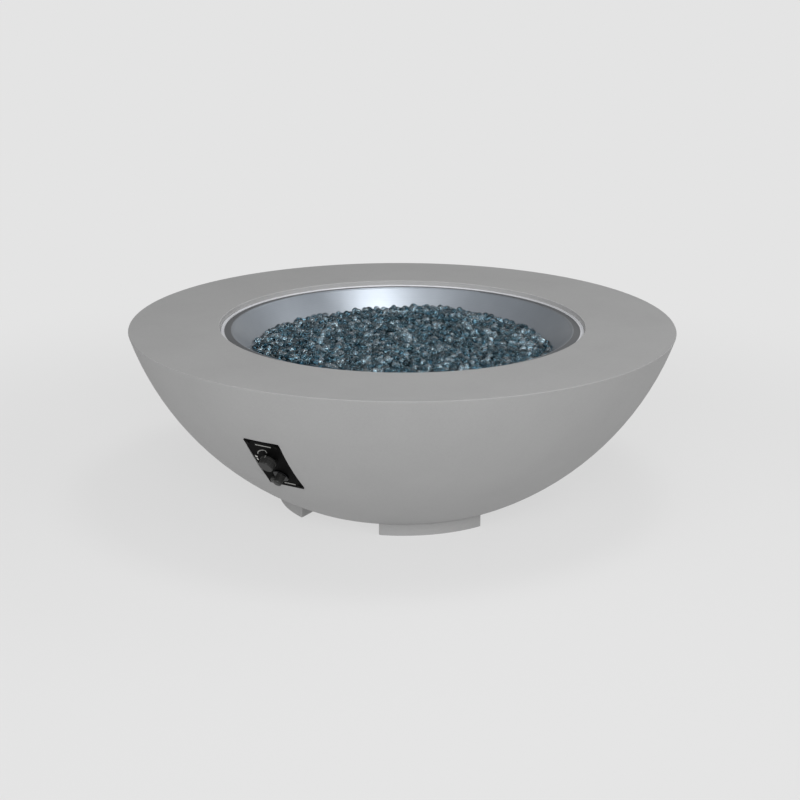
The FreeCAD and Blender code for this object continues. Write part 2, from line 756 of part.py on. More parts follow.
def ignition_lead():
    return flexible("ignition_lead", [
        panel_point(IGNITER_X + TERMINAL_X, IGNITER_Y, IGNITER_DEPTH + 10),
        panel_point(IGNITER_X + TERMINAL_X, IGNITER_Y, IGNITER_DEPTH + 42),
        Vector(2, -302, 236),
        Vector(-4, -262, 226),
        Vector(-12, -222, 214),
        Vector(-14, -184, 208),
        Vector(-11, -160, 216),
        Vector(-PILOT_X, PILOT_Y, PAN_Z - 40),
        Vector(-PILOT_X, PILOT_Y, PAN_Z - 23),
    ], SPARK_LEAD_R)


def thermocouple_lead():
    back = VALVE_DEPTH + 18
    return flexible("thermocouple_lead", [
        panel_point(0, VALVE_Y, back),
        panel_point(0, VALVE_Y, back + 36),
        Vector(6, -330, 270),
        Vector(14, -290, 256),
        Vector(22, -250, 240),
        Vector(22, -210, 230),
        Vector(18, -176, 230),
        Vector(PILOT_X, PILOT_Y - 6, 236),
        Vector(PILOT_X, PILOT_Y, PAN_Z - 28),
        Vector(PILOT_X, PILOT_Y, PAN_Z - 13),
    ], THERMOCOUPLE_LEAD_R)


# Panel and igniter

def control_panel():
    plate = rounded_block(PANEL_WIDTH, PANEL_LENGTH, PANEL_SHEET, ORIGIN, 1.5)
    plate = plate.cut(rod(5.5, Vector(0, VALVE_Y, -1), Vector(0, VALVE_Y, 5)))
    plate = plate.cut(rod(IGNITER_R + 0.1, Vector(IGNITER_X, IGNITER_Y, -1), Vector(IGNITER_X, IGNITER_Y, 5)))
    plate = plate.cut(rod(STUD_R, Vector(STUD_X, STUD_Y, -1), Vector(STUD_X, STUD_Y, 5)))
    for hole in valve_screw_holes(2.1, 1.0):
        plate = plate.cut(hole)
    for x in (-PANEL_SCREW_X, PANEL_SCREW_X):
        for y in (-PANEL_SCREW_Y, PANEL_SCREW_Y):
            plate = plate.cut(rod(2.1, Vector(x, y, -1), Vector(x, y, 5)))
    return on_panel(plate)


def panel_screws():
    screws = []
    for x in (-PANEL_SCREW_X, PANEL_SCREW_X):
        for y in (-PANEL_SCREW_Y, PANEL_SCREW_Y):
            screws.append(screw(Vector(x, y, PANEL_SHEET), Z_AXIS, 3.8, 2.0, 1.9, 14.0))
    return on_panel(group(screws))


def panel_section(x, y, points):
    """A round piece on the panel, spun about its own axis at x, y from a list of radii and heights."""
    solid = spun(polygon([at(radius, height) for radius, height in points]))
    solid.translate(Vector(x, y, 0))
    return on_panel(solid)


def earth_stud():
    """A stud clamped in the panel by its flange, with a domed cap in front of it."""
    return panel_section(STUD_X, STUD_Y, [
        (0, -12.0), (STUD_R, -12.0), (STUD_R, PANEL_SHEET), (6.2, PANEL_SHEET), (6.2, 5.8), (5.6, 7.9),
        (4.1, 9.4), (2.0, 10.1), (0, 10.2),
    ])


def stud_nut():
    """The hexagonal nut behind the panel that holds the stud."""
    low = Vector(STUD_X, STUD_Y, -3.2)
    high = Vector(STUD_X, STUD_Y, 0)
    return on_panel(hexagon(8.0, low, high).cut(rod(STUD_R, low, high)))


def igniter_section(points):
    """A piece of the igniter, spun about its own axis."""
    return panel_section(IGNITER_X, IGNITER_Y, points)


def igniter_housing():
    """A barrel with a collar behind the panel, a cell in its bore and a wider bore for the button."""
    button_depth = -8.5
    bore_r = BUTTON_R + RUNNING_FIT
    cell_r = CELL_R + 0.3
    return igniter_section([
        (0, -IGNITER_DEPTH), (11.0, -IGNITER_DEPTH), (11.0, -6.0), (14.0, -5.0), (14.0, 0),
        (IGNITER_R, 0), (IGNITER_R, BEZEL_FRONT), (bore_r, BEZEL_FRONT), (bore_r, button_depth),
        (cell_r, button_depth), (cell_r, button_depth - CELL_LENGTH - 1), (0, button_depth - CELL_LENGTH - 1),
    ])


def igniter_bezel_nut():
    return igniter_section([
        (IGNITER_R, PANEL_SHEET), (BEZEL_R, PANEL_SHEET), (BEZEL_R, BEZEL_FRONT - 1.0),
        (BEZEL_R - 1.0, BEZEL_FRONT), (IGNITER_R, BEZEL_FRONT),
    ])


def igniter_button():
    """A domed button whose lower end slides in the housing."""
    return igniter_section([
        (0, -3.0), (BUTTON_R, -3.0), (BUTTON_R, BUTTON_FRONT - 2.6), (BUTTON_R - 0.6, BUTTON_FRONT - 1.3),
        (BUTTON_R - 2.2, BUTTON_FRONT - 0.4), (BUTTON_R - 4.5, BUTTON_FRONT), (0, BUTTON_FRONT),
    ])


def igniter_battery():
    top = -9.2
    base = top - CELL_LENGTH
    return igniter_section([
        (0, base), (CELL_R, base), (CELL_R, top - 1.2), (2.7, top - 1.2), (2.7, top), (0, top),
    ])


def igniter_terminals():
    blades = []
    for x in (IGNITER_X - TERMINAL_X, IGNITER_X + TERMINAL_X):
        blades.append(block(5.0, 0.8, 10.0, Vector(x, IGNITER_Y, -IGNITER_DEPTH - 10)))
    return on_panel(group(blades))


PIECES = {
    "bowl_shell": bowl_shell,
    "bowl_feet": bowl_feet,
    "pan_gasket": pan_gasket,
    "burner_pan": burner_pan,
    "burner_outer_ring": lambda: ring(OUTER_RING_R, OUTER_PORTS, 7.5, PORT_LEAN),
    "burner_inner_ring": lambda: ring(INNER_RING_R, INNER_PORTS, 0.0, -PORT_LEAN),
    "burner_spokes": burner_spokes,
    "burner_hub": burner_hub,
    "burner_standoffs": burner_standoffs,
    "burner_lock_nut": burner_lock_nut,
    "air_mixer": air_mixer,
    "gas_orifice": gas_orifice,
    "orifice_elbow": orifice_elbow,
    "flare_nuts": flare_nuts,
    "burner_hose": burner_hose,
    "outlet_union": outlet_union,
    "inlet_elbow": inlet_elbow,
    "valve_body": valve_body,
    "valve_bonnet": valve_bonnet,
    "valve_plug": valve_plug,
    "valve_stem": valve_stem,
    "control_knob": control_knob,
    "knob_pointer": knob_pointer,
    "valve_screws": valve_screws,
    "safety_magnet": safety_magnet,
    "thermocouple_nut": thermocouple_nut,
    "thermocouple_lead": thermocouple_lead,
    "thermocouple": thermocouple,
    "pilot_bracket": pilot_bracket,
    "pilot_screws": pilot_screws,
    "electrode_insulator": electrode_insulator,
    "electrode_rod": electrode_rod,
    "ignition_lead": ignition_lead,
    "igniter_housing": igniter_housing,
    "igniter_bezel_nut": igniter_bezel_nut,
    "igniter_button": igniter_button,
    "igniter_battery": igniter_battery,
    "igniter_terminals": igniter_terminals,
    "earth_stud": earth_stud,
    "stud_nut": stud_nut,
    "control_panel": control_panel,
    "panel_screws": panel_screws,
    "fire_glass": fire_glass,
}

os.makedirs("parts", exist_ok=True)
for name, make in PIECES.items():
    shape = make()
    if not shape.isValid():
        raise RuntimeError(name + " isn't a valid solid")
    print(name, len(shape.Solids), "solids", round(shape.Volume / 1000, 1), "cm3")
    shape.exportStep("parts/" + name + ".step")
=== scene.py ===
"""Finishes, fire glass, corrugated hose, printed marks and studio for the round gas fire bowl.

Metres. Z is up, the origin is the middle of the footprint on the ground, and the control panel faces -Y.
"""

import json
import math

import bpy
import numpy as np
from mathutils import Matrix, Vector


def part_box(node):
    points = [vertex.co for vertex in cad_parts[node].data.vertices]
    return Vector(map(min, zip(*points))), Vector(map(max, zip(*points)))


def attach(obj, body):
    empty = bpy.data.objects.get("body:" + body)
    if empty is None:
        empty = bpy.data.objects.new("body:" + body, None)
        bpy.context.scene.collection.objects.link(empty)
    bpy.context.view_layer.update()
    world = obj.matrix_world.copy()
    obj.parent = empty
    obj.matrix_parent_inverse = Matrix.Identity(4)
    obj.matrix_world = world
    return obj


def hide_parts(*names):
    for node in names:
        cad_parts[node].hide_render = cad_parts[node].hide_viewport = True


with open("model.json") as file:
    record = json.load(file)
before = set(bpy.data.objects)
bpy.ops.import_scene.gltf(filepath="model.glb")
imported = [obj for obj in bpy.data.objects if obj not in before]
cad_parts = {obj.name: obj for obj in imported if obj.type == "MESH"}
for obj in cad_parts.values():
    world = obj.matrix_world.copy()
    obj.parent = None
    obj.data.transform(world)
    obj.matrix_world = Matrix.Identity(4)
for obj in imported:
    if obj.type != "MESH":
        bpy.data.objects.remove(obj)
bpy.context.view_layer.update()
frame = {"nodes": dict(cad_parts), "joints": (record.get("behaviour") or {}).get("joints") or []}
NODES = frame["nodes"]
JOINTS = {joint["name"]: joint for joint in frame["joints"]}

MM = 0.001

# Places read from the frame.
RIM_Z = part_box("bowl_shell")[1].z
GLASS_TOP_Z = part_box("fire_glass")[1].z
GLASS_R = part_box("fire_glass")[1].x
PAN_FLOOR_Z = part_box("pilot_bracket")[0].z

# Fire glass: a low dome, with a crest behind its middle.
GLASS_EDGE_Z = RIM_Z - 41.5 * MM
EDGE_R = GLASS_R + 6.5 * MM
DOME_Z = GLASS_TOP_Z - 6.0 * MM
CREST = (-55 * MM, 188 * MM)
CREST_RISE = 17 * MM
CREST_SPREAD = 58 * MM
RIPPLE = 1.6 * MM

# Pebbles. PEBBLE_AXES and PEBBLE_SIZES are the least and the most that the three axes and the whole pebble
# are scaled by. A layer has a name, a spacing and a depth under the heap's top. SIDE_JITTER is a share of
# the spacing.
PEBBLE_R = 7.2 * MM
PEBBLE_COLUMNS = 10
PEBBLE_ROWS = 5
PEBBLE_AXES = ((0.95, 0.84, 0.70), (1.15, 1.0, 0.94))
PEBBLE_SIZES = (0.84, 1.12)
PEBBLE_SWELL = 0.06
PEBBLE_LAYERS = (("fire_glass_lower", 14.0 * MM, 16.5 * MM), ("fire_glass_upper", 14.4 * MM, 8.0 * MM))
SIDE_JITTER = 0.3
HEIGHT_JITTER = 2.5 * MM
LOOSE_PEBBLES = 320
LOOSE_MARGIN = 10 * MM
LOOSE_DEPTH = 3.0 * MM
LYING_SPREAD = math.radians(24)

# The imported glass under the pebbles.
MASS_SPOKES = 96
MASS_RINGS = 23
MASS_MARGIN = 16 * MM
MASS_DEPTH = 19 * MM
MASS_BASE_Z = PAN_FLOOR_Z + 30 * MM

# Rings of the pan, by distance from its middle: the wall, then the flange, then the bead.
FLANGE_R = 336.5 * MM
BEAD_R = 349.5 * MM

# The bowl's opening, for the painted light on its edge: a paler band.
OPENING_R = 360.0 * MM
OPENING_LOW_Z = RIM_Z - 20.0 * MM

# The panel's own axes: across it, up it, and out of it. The knob's base is on the back of the plate, KNOB_UP
# above the panel's middle. The plate and the ink on it are PLATE and INK thick.
PANEL_OUT = Vector(JOINTS["knob_turn"]["axis"]).normalized()
PANEL_ACROSS = Vector((1, 0, 0))
PANEL_UP = PANEL_OUT.cross(PANEL_ACROSS)
KNOB_BASE = Vector(JOINTS["knob_turn"]["pos_m"])
KNOB_UP = 18 * MM
PLATE = 2 * MM
INK = 0.12 * MM

# Printed marks. The arc has a radius, a width, and its two ends in degrees. A bar has a name, then its left
# end, its right end and the height of its middle in millimetres from the panel's middle, then its thickness
# up the panel, and whether it is in the bolder ink.
HEAT_ARC = (24.5 * MM, 1.8 * MM, 90, 162)
BARS = (
    ("upper_rule", -16, 18, 56.0, 2.8, False),
    ("lower_rule", -1, 23, -56.5, 3.0, False),
    ("off_tick", -0.9, 0.9, 38.5, 8.0, False),
    ("high_mark", -33.5, -28.5, 15.8, 5.0, True),
    ("high_dash", -33.5, -30.5, 7.5, 5.0, True),
)

# Corrugated hose from the valve's port to the burner's elbow. Its route in millimetres: first from the port,
# then from the origin, then level with the elbow's bore.
PORT_ACROSS = 57 * MM
PORT_DEPTH = 45 * MM
ELBOW_BORE_UP = 8.5 * MM
ELBOW_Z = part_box("orifice_elbow")[0].z + ELBOW_BORE_UP
ROUTE_FROM_PORT = ((0, 0, 0), (52, 0, 0), (92, 40, -4))
ROUTE_MIDDLE = ((146, -315, 222), (118, -238, 207), (66, -172, 194))
ROUTE_TO_ELBOW = ((16, -118), (0, -76), (0, -37))
ROUTE_FINENESS = 24
HOSE_R = 8.0 * MM
HOSE_GROOVE = 1.2 * MM
HOSE_PITCH = 3.2 * MM
HOSE_COLUMNS = 20
RINGS_PER_PITCH = 6

# Camera.
CAMERA_AZIMUTH = math.radians(31.0)
CAMERA_HEADING = math.radians(31.069)
CAMERA_PITCH = math.radians(16.992)
CAMERA_ROLL = math.radians(0.195)
CAMERA_REACH = 3.3638
CAMERA_RISE = 0.8671
CAMERA_LENS = 79.26

# Backdrop. Mirrored rays find a darker patch in it, like an open door, towards DARK_DOOR. The patch is
# DOOR_SHADE darker where the cosine of the angle from its middle is DOOR_CORE, and fades out at DOOR_EDGE.
BACKDROP = 228
SKY = 0.32
DARK_DOOR = (-0.839, 0.522, 0.15)
DOOR_SHADE = 0.27
DOOR_EDGE = 0.55
DOOR_CORE = 0.95

# Floor. It glows by SHADE_SHARE where it is seen, which softens the shadow, and by LIT_SHARE where it lights
# the bowl's underside.
FLOOR = 232
FLOOR_NEAR = 0.75
FLOOR_FAR = 1.8
FLOOR_REACH = 40.0
SHADE_SHARE = 0.75
LIT_SHARE = 0.8

# Lamps: name, place, the height on the object's axis that it is aimed at, width, height and watts.
LAMPS = (
    ("overhead_box", (0.68, -0.05, 3.2), 0.3, 0.9, 0.8, 16),
    ("overhead_wide", (0.32, -0.33, 3.2), 0.3, 2.4, 1.6, 12),
    ("back_box", (1.44, 2.26, 2.2), 0.2, 2.0, 2.0, 9),
    ("front_left_box", (-0.51, -3.81, 1.2), 0.2, 2.0, 1.6, 24),
    ("front_box", (2.06, -3.43, 2.2), 0.2, 2.0, 1.6, 68),
    ("front_right_box", (3.47, -0.72, 1.6), 0.2, 2.0, 1.6, 20),
)


# Colours and shader maths

def grey(level):
    """A display grey from 0 to 255 as linear light."""
    value = level / 255
    return value / 12.92 if value <= 0.04045 else ((value + 0.055) / 1.055) ** 2.4


def paint(red, green, blue):
    """A display colour as a linear colour with full alpha."""
    return (grey(red), grey(green), grey(blue), 1.0)


class Wire:
    """A node's output. Arithmetic on it adds Math nodes to its material."""

    def __init__(self, finish, socket):
        self.finish = finish
        self.socket = socket

    def math(self, operation, first, second):
        return self.finish.node("Math", {"operation": operation}, {0: first, 1: second})

    def __add__(self, other):
        return self.math("ADD", self, other)

    def __sub__(self, other):
        return self.math("SUBTRACT", self, other)

    def __rsub__(self, other):
        return self.math("SUBTRACT", other, self)

    def __mul__(self, other):
        return self.math("MULTIPLY", self, other)

    def __lt__(self, other):
        return self.math("LESS_THAN", self, other)

    def __gt__(self, other):
        return self.math("GREATER_THAN", self, other)

    __radd__ = __add__
    __rmul__ = __mul__


class Finish:
    """A material that ends in one Principled shader."""

    def __init__(self, name):
        self.material = bpy.data.materials.new(name)
        self.material.use_nodes = True
        self.tree = self.material.node_tree
        self.tree.nodes.clear()
        self.shader = self.tree.nodes.new("ShaderNodeBsdfPrincipled")
        self.end = self.tree.nodes.new("ShaderNodeOutputMaterial")
        self.tree.links.new(self.shader.outputs[0], self.end.inputs["Surface"])

    def node(self, kind, settings=None, inputs=None, output=0):
        """Adds a node: its settings first, then the values or links of its sockets."""
        made = self.tree.nodes.new("ShaderNode" + kind)
        for name, value in (settings or {}).items():
            if name == "stops":
                set_stops(made.color_ramp, value)
            else:
                setattr(made, name, value)
        for name, value in (inputs or {}).items():
            self.plug(made.inputs[name], value)
        return Wire(self, made.outputs[output])

    def plug(self, socket, value):
        """Links a wire to a socket, or sets the socket to a value."""
        if isinstance(value, Wire):
            self.tree.links.new(value.socket, socket)
        else:
            socket.default_value = value

    def set(self, **values):
        """Sets the shader's sockets. Base_Color stands for Base Color."""
        for name, value in values.items():
            self.plug(self.shader.inputs[name.replace("_", " ")], value)
        return self.material

    def place(self):
        """The point on the piece."""
        return self.node("TexCoord", output="Object")

    def noise(self, size, detail, rough=0.55):
        """Cloudy noise from 0 to 1, in patches of about size metres."""
        return self.node("TexNoise", {}, {
            "Vector": self.place(), "Scale": 1 / size, "Detail": detail, "Roughness": rough})

    def ramp(self, factor, *stops):
        """A colour that goes through the stops as factor rises."""
        return self.node("ValToRGB", {"stops": stops}, {"Fac": factor})

    def mix(self, factor, first, second):
        """One colour where factor is 0, the other where it is 1."""
        return self.node("MixRGB", {}, {"Fac": factor, "Color1": first, "Color2": second})

    def bump(self, height, depth, strength):
        """A normal from a height of 0 to 1 that stands for depth metres."""
        return self.node("Bump", {}, {"Height": height, "Distance": depth, "Strength": strength})


def set_stops(ramp, stops):
    """Puts pairs of position and colour on a ramp."""
    while len(ramp.elements) < len(stops):
        ramp.elements.new(1.0)
    for element, (position, colour) in zip(ramp.elements, stops):
        element.position = position
        element.color = colour


def dress(material, *names):
    """Gives CAD nodes a finish."""
    for name in names:
        slots = NODES[name].data.materials
        slots.clear()
        slots.append(material)


# Finishes

def along(finish, axis):
    """A point's place along one axis."""
    return finish.node("SeparateXYZ", {}, {0: finish.place()}, axis)


def from_middle(finish):
    """A point's distance from the object's upright axis."""
    x, y = along(finish, "X"), along(finish, "Y")
    return finish.node("Math", {"operation": "SQRT"}, {0: x * x + y * y})


def cast_concrete():
    """Smooth grey concrete: slow clouds, fine sand and small specks. The opening's edge is painted paler, a
    painted light on its inner wall.
    """
    finish = Finish("cast_concrete")
    clouds = finish.noise(0.16, 4.0)
    sand = finish.noise(0.0016, 2.0, 0.6)
    specks = finish.noise(0.0042, 1.0)
    tone = clouds * 0.45 + sand * 0.35 + specks * 0.2
    face = finish.ramp(
        tone, (0.30, paint(154, 154, 154)), (0.50, paint(159, 159, 159)), (0.70, paint(163, 163, 163)))
    # Painted light: a paler colour for the top of the opening's inner wall.
    edge = finish.ramp(tone, (0.30, paint(170, 170, 170)), (0.70, paint(178, 178, 178)))
    opening_painted_light = (from_middle(finish) < OPENING_R) * (along(finish, "Z") > OPENING_LOW_Z)
    colour = finish.mix(opening_painted_light, face, edge)
    relief = sand * 0.5 + specks * 0.5
    return finish.set(
        Base_Color=colour, Roughness=0.62 + sand * 0.2, Specular_IOR_Level=0.2,
        Normal=finish.bump(relief, 0.00012, 0.6))


def metal(name, colour, dark, roughness, grain, relief=0.00004):
    """A metal whose colour and gloss drift in patches of grain metres."""
    finish = Finish(name)
    patches = finish.noise(grain, 4.0)
    fine = finish.noise(grain * 0.12, 2.0)
    tone = finish.ramp(patches * 0.6 + fine * 0.4, (0.35, dark), (0.65, colour))
    return finish.set(
        Base_Color=tone, Metallic=1.0, Roughness=roughness - 0.08 + fine * 0.16,
        Normal=finish.bump(fine, relief, 0.5))


def moulded(name, colour, worn, roughness, grain, relief=0.00005, gloss=0.5):
    """A plastic, paint or ceramic with a fine orange peel."""
    finish = Finish(name)
    patches = finish.noise(grain * 20, 3.0)
    peel = finish.noise(grain, 2.0)
    tone = finish.ramp(patches * 0.5 + peel * 0.5, (0.35, colour), (0.68, worn))
    return finish.set(
        Base_Color=tone, Roughness=roughness - 0.06 + peel * 0.12, Specular_IOR_Level=gloss,
        Normal=finish.bump(peel, relief, 0.5))


def pan_finish():
    """Satin steel with faint rings from spinning: noise that changes with the distance from the middle.
    The flange is darker than the wall, a painted shade for the dull reflection it shows, and the bead is
    paler, a painted highlight for the light along the lip; the bead is also rougher."""
    finish = Finish("spun_pan_steel")
    away = from_middle(finish)
    rings = finish.node("TexNoise", {"noise_dimensions": "1D"}, {"W": away, "Scale": 900.0, "Detail": 3.0})
    patches = finish.noise(0.09, 3.0)
    grain = patches * 0.6 + rings * 0.4
    wall = finish.ramp(grain, (0.32, paint(130, 136, 143)), (0.66, paint(140, 146, 153)))
    # Painted shade: the flange's darker colour stands in for the dull reflection it shows.
    flange = finish.ramp(grain, (0.32, paint(82, 85, 89)), (0.66, paint(92, 95, 99)))
    # Painted highlight: the bead's paler colour stands in for the light that the lip catches.
    bead = finish.ramp(grain, (0.32, paint(196, 197, 200)), (0.66, paint(208, 209, 212)))
    on_bead = away > BEAD_R
    tone = finish.mix(away > FLANGE_R, wall, flange)
    tone = finish.mix(on_bead, tone, bead)
    return finish.set(
        Base_Color=tone, Metallic=1.0, Roughness=on_bead * 0.3 + rings * 0.12 + 0.29,
        Normal=finish.bump(rings, 0.00002, 0.35))


def tempered_glass():
    """Sea-blue tempered glass, each pebble a little lighter or darker. Outlines are painted dark where the
    surface turns away, a painted shade for the dark edges that refraction shows, and the palest pebbles have
    a glossy coat."""
    finish = Finish("tempered_glass")
    tint = finish.node("Attribute", {"attribute_name": "tint"}, output="Fac")
    cloud = finish.noise(0.006, 2.0)
    body = finish.ramp(
        tint * 0.8 + cloud * 0.2,
        (0.0, paint(107, 135, 146)), (0.5, paint(165, 190, 200)), (1.0, paint(223, 236, 242)))
    # Painted shade: the glass turns darker where its surface turns away from view.
    facing = finish.node("LayerWeight", {}, {"Blend": 0.5}, "Facing")
    outline_painted_shade = finish.ramp(facing, (0.62, (0, 0, 0, 1)), (0.9, (1, 1, 1, 1)))
    colour = finish.mix(outline_painted_shade, body, paint(20, 28, 32))
    return finish.set(
        Base_Color=colour, Roughness=0.005 + cloud * 0.02, Transmission_Weight=1.0, IOR=1.5,
        Specular_IOR_Level=0.45, Specular_Tint=(0.45, 0.72, 0.88, 1.0),
        Coat_Weight=(tint > 0.75) * 0.8, Coat_IOR=1.7, Coat_Roughness=0.02)


def glass_painted_shade():
    """The mass of glass that shows between the pebbles, coloured near black as painted shade between them."""
    finish = Finish("glass_painted_shade")
    lumps = finish.noise(0.012, 3.0)
    # Painted shade: near-black colour for the shade between and under the pebbles.
    colour = finish.ramp(
        lumps, (0.35, paint(8, 11, 14)), (0.52, paint(20, 27, 33)), (0.70, paint(58, 58, 60)))
    return finish.set(Base_Color=colour, Roughness=0.35 + lumps * 0.2, Normal=finish.bump(lumps, 0.004, 0.8))


# Meshes

def add_piece(name, points, faces, material, body, smooth=True):
    """A mesh piece that rides on a body."""
    mesh = bpy.data.meshes.new(name)
    mesh.from_pydata(points.tolist(), [], faces)
    if smooth:
        mesh.shade_smooth()
    else:
        mesh.shade_flat()
    mesh.materials.append(material)
    piece = bpy.data.objects.new(name, mesh)
    bpy.context.scene.collection.objects.link(piece)
    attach(piece, body)
    return piece


def ball_faces(rows, columns):
    """Faces of a ball: a pole, rows of points, and a pole. Triangles close it at the poles."""
    row, column = np.meshgrid(np.arange(rows - 1), np.arange(columns), indexing="ij")
    beside = (column + 1) % columns
    a = 1 + row * columns + column
    b = 1 + row * columns + beside
    quads = np.stack([a, a + columns, b + columns, b], -1).reshape(-1, 4)
    c = np.arange(columns)
    d = (c + 1) % columns
    last = 1 + (rows - 1) * columns
    top = np.stack([np.zeros_like(c), 1 + c, 1 + d], -1)
    bottom = np.stack([np.full_like(c, 1 + rows * columns), last + d, last + c], -1)
    return quads, np.concatenate([top, bottom])


# Fire glass

def heap_top(x, y):
    """Height of the heap: a parabola from the edge up to the middle, a low round crest, and slow ripples."""
    share = (x ** 2 + y ** 2) / EDGE_R ** 2
    dome = DOME_Z - (DOME_Z - GLASS_EDGE_Z) * share
    to_crest = (x - CREST[0]) ** 2 + (y - CREST[1]) ** 2
    crest = CREST_RISE * np.exp(-to_crest / (2 * CREST_SPREAD ** 2))
    ripple = RIPPLE * (np.sin(61 * x + 17 * y) + np.sin(73 * y - 29 * x + 1.0))
    return dome + crest + ripple * (1 - share)


def scattered(spacing, margin, rng):
    """Points of a triangular lattice out to the heap's edge less a margin, each moved a little at random."""
    count = int(EDGE_R / spacing * 1.2) + 2
    column, row = np.meshgrid(np.arange(-count, count + 1), np.arange(-count, count + 1))
    x = (column + 0.5 * (row % 2)) * spacing
    y = row * spacing * math.sqrt(3) / 2
    points = np.stack([x.ravel(), y.ravel()], 1)
    points += rng.uniform(-SIDE_JITTER, SIDE_JITTER, points.shape) * spacing
    return points[np.hypot(*points.T) < EDGE_R - margin]


def lying_turns(count, spread, rng):
    """Rotation matrices of things that lie nearly flat: a turn about Z, then a tip about a random level axis
    by an angle with the given spread."""
    spin, heading = rng.uniform(0, 2 * math.pi, (2, count))
    tip = rng.normal(0, spread, count)
    x, y = np.cos(heading), np.sin(heading)
    c, s = np.cos(tip), np.sin(tip)
    tipped = np.array([
        [c + x * x * (1 - c), x * y * (1 - c), y * s],
        [x * y * (1 - c), c + y * y * (1 - c), -x * s],
        [-y * s, x * s, c],
    ])
    flat = np.zeros_like(tipped)
    flat[0, 0], flat[0, 1] = np.cos(spin), -np.sin(spin)
    flat[1, 0], flat[1, 1] = np.sin(spin), np.cos(spin)
    flat[2, 2] = 1
    return np.einsum("ijn,jkn->nik", tipped, flat)


def pebbles(name, centres, material, spread, rng):
    """Tumbled pebbles: balls whose radius swells and pinches in two and three slow waves round them,
    squashed along one axis and stretched along another, laid down at random and moved to their centres."""
    count = len(centres)
    theta = np.arange(PEBBLE_COLUMNS) * 2 * math.pi / PEBBLE_COLUMNS
    phi = np.arange(1, PEBBLE_ROWS + 1) * math.pi / (PEBBLE_ROWS + 1)
    phi, theta = (grid.ravel() for grid in np.meshgrid(phi, theta, indexing="ij"))
    theta = np.concatenate([[0], theta, [0]])
    phi = np.concatenate([[0], phi, [math.pi]])
    way = np.stack([np.sin(phi) * np.cos(theta), np.sin(phi) * np.sin(theta), np.cos(phi)], -1)
    lean = rng.uniform(0, 2 * math.pi, (2, count, 1))
    swell = rng.uniform(0.0, PEBBLE_SWELL, (2, count, 1))
    radius = 1 + swell[0] * np.cos(2 * theta + lean[0]) * np.sin(phi) ** 2
    radius += swell[1] * np.cos(3 * theta + lean[1]) * np.sin(phi) ** 3
    axes = rng.uniform(*PEBBLE_AXES, (count, 3))
    size = PEBBLE_R * rng.uniform(*PEBBLE_SIZES, (count, 1, 1))
    local = radius[:, :, None] * way[None] * axes[:, None, :] * size
    points = np.einsum("nij,nmj->nmi", lying_turns(count, spread, rng), local) + centres[:, None, :]
    quads, triangles = ball_faces(PEBBLE_ROWS, PEBBLE_COLUMNS)
    step = np.arange(count)[:, None, None] * len(theta)
    faces = (quads + step).reshape(-1, 4).tolist() + (triangles + step).reshape(-1, 3).tolist()
    piece = add_piece(name, points.reshape(-1, 3), faces, material, "root")
    tint = piece.data.attributes.new("tint", "FLOAT", "POINT")
    tint.data.foreach_set("value", np.repeat(rng.uniform(0, 1, count), len(theta)).astype(np.float32))
    return piece


def layer_centres(spacing, depth, rng):
    """A layer of pebbles that follows the heap, depth under its top. A deeper one ends further in."""
    x, y = scattered(spacing, depth * 0.7, rng).T
    height = heap_top(x, y) - depth + rng.uniform(-HEIGHT_JITTER, HEIGHT_JITTER, len(x))
    return np.stack([x, y, height], 1)


def fire_glass():
    """Two layers of pebbles and some loose ones on top, over the mass of glass under them, which is coloured
    dark as painted shade.
    """
    rng = np.random.default_rng(11)
    glass = tempered_glass()
    first = None
    for name, spacing, depth in PEBBLE_LAYERS:
        piece = pebbles(name, layer_centres(spacing, depth, rng), glass, LYING_SPREAD, rng)
        first = first or piece
    away = (GLASS_R - LOOSE_MARGIN) * np.sqrt(rng.uniform(0, 1, LOOSE_PEBBLES))
    angle = rng.uniform(0, 2 * math.pi, LOOSE_PEBBLES)
    x, y = away * np.cos(angle), away * np.sin(angle)
    loose = np.stack([x, y, heap_top(x, y) - LOOSE_DEPTH], 1)
    pebbles("fire_glass_loose", loose, glass, 2 * LYING_SPREAD, rng)
    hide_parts("fire_glass")
    glass_mass()


def glass_mass():
    """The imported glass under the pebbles: rings of points out along the heap's top, then back under it."""
    out = np.linspace(0, 1, MASS_RINGS + 1)[1:] * (GLASS_R - MASS_MARGIN)
    angle = np.arange(MASS_SPOKES) * 2 * math.pi / MASS_SPOKES
    away, turn = np.meshgrid(out, angle, indexing="ij")
    x, y = away * np.cos(turn), away * np.sin(turn)
    top = np.stack([x, y, heap_top(x, y) - MASS_DEPTH], -1).reshape(-1, 3)
    middle = [[0, 0, float(heap_top(0, 0)) - MASS_DEPTH]]
    below = [[0, 0, MASS_BASE_Z]]
    rim = np.stack([x[-1], y[-1], np.full(MASS_SPOKES, MASS_BASE_Z)], -1)
    points = np.concatenate([middle, top, rim, below])
    quads, triangles = ball_faces(MASS_RINGS + 1, MASS_SPOKES)
    faces = quads.tolist() + triangles.tolist()
    return add_piece("fire_glass_mass", points, faces, glass_painted_shade(), "root")


# Hose

def spline_line(name, controls):
    """Points along a NURBS curve of order 3 with these control points, from the first to the last."""
    curve = bpy.data.curves.new(name, "CURVE")
    curve.dimensions = "3D"
    curve.resolution_u = ROUTE_FINENESS
    spline = curve.splines.new("NURBS")
    spline.points.add(len(controls) - 1)
    spline.points.foreach_set("co", np.column_stack([controls, np.ones(len(controls))]).ravel())
    spline.order_u = 3
    spline.use_endpoint_u = True
    holder = bpy.data.objects.new(name, curve)
    mesh = bpy.data.meshes.new_from_object(holder)
    line = np.empty(len(mesh.vertices) * 3)
    mesh.vertices.foreach_get("co", line)
    bpy.data.objects.remove(holder)
    bpy.data.curves.remove(curve)
    bpy.data.meshes.remove(mesh)
    return line.reshape(-1, 3)


